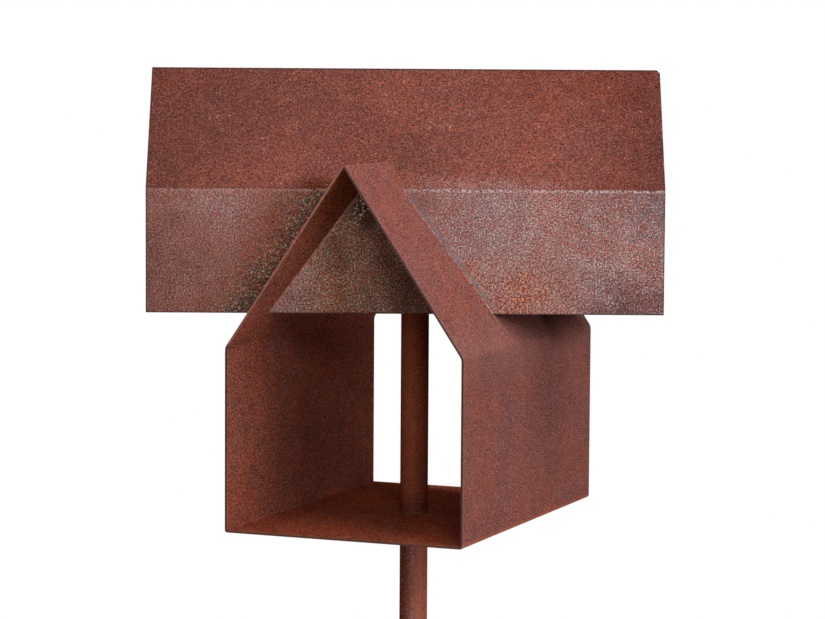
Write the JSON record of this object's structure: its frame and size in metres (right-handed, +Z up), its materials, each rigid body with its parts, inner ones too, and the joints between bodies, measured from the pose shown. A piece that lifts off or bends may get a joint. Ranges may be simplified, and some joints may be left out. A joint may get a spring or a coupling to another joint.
{
  "type": "bird feeder",
  "caption": "Bird feeder of rusted steel sheet: a gabled house open at both ends, set crosswise through a long folded roof, on a tube post that stands in the ground.",
  "frame": {"origin": "middle of the post's foot, at ground level", "axes": "+Z up along the post, the house's open front looks along -Y, +X to the right of that front"},
  "size_m": [0.3793, 0.26, 1.3191],
  "materials": {
    "roof_rust": "matte",
    "house_rust": "matte",
    "post_rust": "matte"
  },
  "bodies": {
    "root": {"roof_front_skirt": "roof_rust", "roof_front_slope": "roof_rust", "roof_back_slope": "roof_rust", "roof_back_skirt": "roof_rust", "house_floor": "house_rust", "house_left_wall": "house_rust", "house_right_wall": "house_rust", "house_left_slope": "house_rust", "house_right_slope": "house_rust", "post": "post_rust"}
  },
  "joints": []
}
